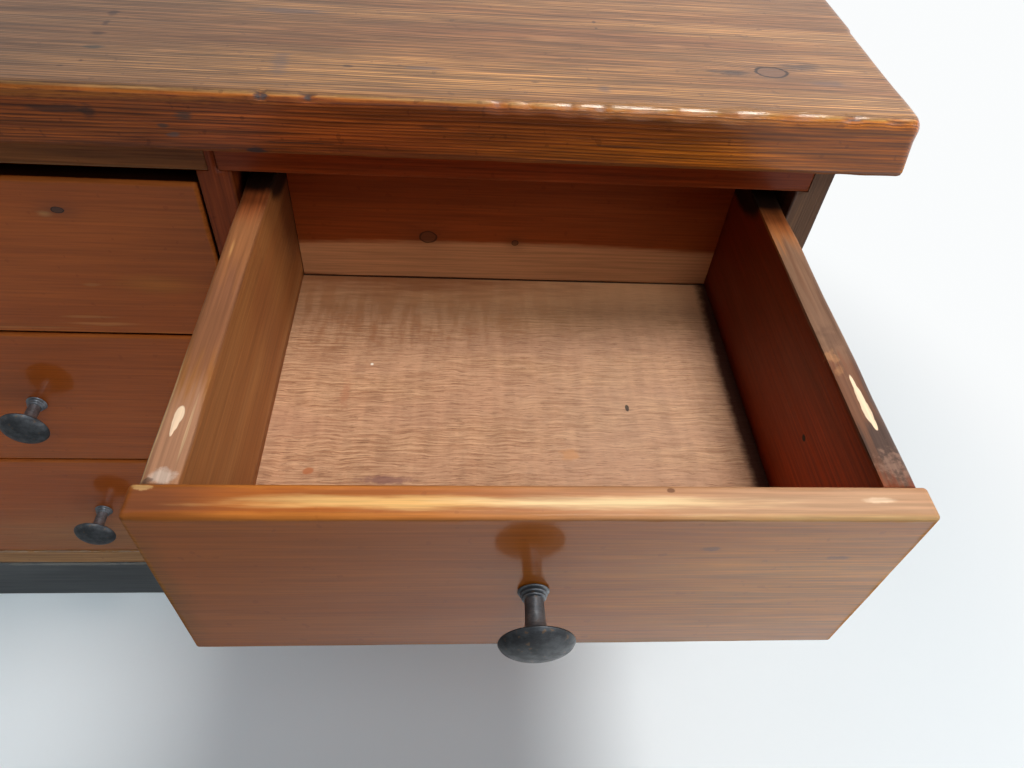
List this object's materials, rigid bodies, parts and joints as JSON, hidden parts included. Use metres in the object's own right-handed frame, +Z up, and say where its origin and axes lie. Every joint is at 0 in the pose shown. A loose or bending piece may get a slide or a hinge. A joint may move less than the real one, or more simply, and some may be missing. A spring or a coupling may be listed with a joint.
{
  "type": "dresser with drawers",
  "caption": "Low dresser with a thick wooden plank top, flush wooden drawers in columns, mushroom knobs and a dark plinth; each drawer slides on side runners.",
  "frame": {"origin": "on the floor, in the middle of the plinth front's underside", "axes": "+X to the dresser's right as seen from the front, +Y from the front to the back, +Z up"},
  "size_m": [0.864, 0.6389, 0.6368],
  "materials": {
    "plank": "thick softwood plank, brown stained and waxed, open horizontal grain, worn front edge",
    "carcass": "dark brown stained wood, satin",
    "front": "reddish-brown stained wood under satin varnish, fine horizontal grain, worn arrises",
    "box": "reddish-brown stained wood, satin, worn top edges",
    "base": "unpolished veneered plywood with short dark pores",
    "runner": "bare planed wood",
    "back": "bare plywood",
    "plinth": "charcoal paint, matt",
    "knob": "dark pewter grey, dull, brown at the worn places"
  },
  "bodies": {
    "cabinet": {"plank_top": "plank", "side_left": "carcass", "side_right": "carcass", "centre_divider": "carcass", "bottom_board": "carcass", "top_rail_left": "carcass", "top_rail_right": "carcass", "back_rail": "carcass", "back_panel": "back", "plinth_front": "plinth", "plinth_side_left": "plinth", "plinth_side_right": "plinth", "runner_bottom_left_left": "runner", "runner_bottom_left_right": "runner", "runner_bottom_right_left": "runner", "runner_bottom_right_right": "runner", "runner_middle_left_left": "runner", "runner_middle_left_right": "runner", "runner_middle_right_left": "runner", "runner_middle_right_right": "runner", "runner_top_left_left": "runner", "runner_top_left_right": "runner", "runner_top_right_left": "runner", "runner_top_right_right": "runner"},
    "drawer_bottom_left": {"drawer_bottom_left_front": "front", "drawer_bottom_left_side_left": "box", "drawer_bottom_left_side_right": "box", "drawer_bottom_left_back": "box", "drawer_bottom_left_base": "base", "drawer_bottom_left_knob": "knob"},
    "drawer_bottom_right": {"drawer_bottom_right_front": "front", "drawer_bottom_right_side_left": "box", "drawer_bottom_right_side_right": "box", "drawer_bottom_right_back": "box", "drawer_bottom_right_base": "base", "drawer_bottom_right_knob": "knob"},
    "drawer_middle_left": {"drawer_middle_left_front": "front", "drawer_middle_left_side_left": "box", "drawer_middle_left_side_right": "box", "drawer_middle_left_back": "box", "drawer_middle_left_base": "base", "drawer_middle_left_knob": "knob"},
    "drawer_middle_right": {"drawer_middle_right_front": "front", "drawer_middle_right_side_left": "box", "drawer_middle_right_side_right": "box", "drawer_middle_right_back": "box", "drawer_middle_right_base": "base", "drawer_middle_right_knob": "knob"},
    "drawer_top_left": {"drawer_top_left_front": "front", "drawer_top_left_side_left": "box", "drawer_top_left_side_right": "box", "drawer_top_left_back": "box", "drawer_top_left_base": "base", "drawer_top_left_knob": "knob"},
    "drawer_top_right": {"drawer_top_right_front": "front", "drawer_top_right_side_left": "box", "drawer_top_right_side_right": "box", "drawer_top_right_back": "box", "drawer_top_right_base": "base", "drawer_top_right_knob": "knob"}
  },
  "joints": [
    {"name": "slide_bottom_left", "type": "slide", "parent": "cabinet", "child": "drawer_bottom_left", "axis": [0, -1, 0], "range_m": [0, 0.26]},
    {"name": "slide_bottom_right", "type": "slide", "parent": "cabinet", "child": "drawer_bottom_right", "axis": [0, -1, 0], "range_m": [0, 0.26]},
    {"name": "slide_middle_left", "type": "slide", "parent": "cabinet", "child": "drawer_middle_left", "axis": [0, -1, 0], "range_m": [0, 0.26]},
    {"name": "slide_middle_right", "type": "slide", "parent": "cabinet", "child": "drawer_middle_right", "axis": [0, -1, 0], "range_m": [0, 0.26]},
    {"name": "slide_top_left", "type": "slide", "parent": "cabinet", "child": "drawer_top_left", "axis": [0, -1, 0], "range_m": [0, 0.26]},
    {"name": "slide_top_right", "type": "slide", "parent": "cabinet", "child": "drawer_top_right", "axis": [0, -1, 0], "range_m": [-0.247, 0.013]}
  ]
}
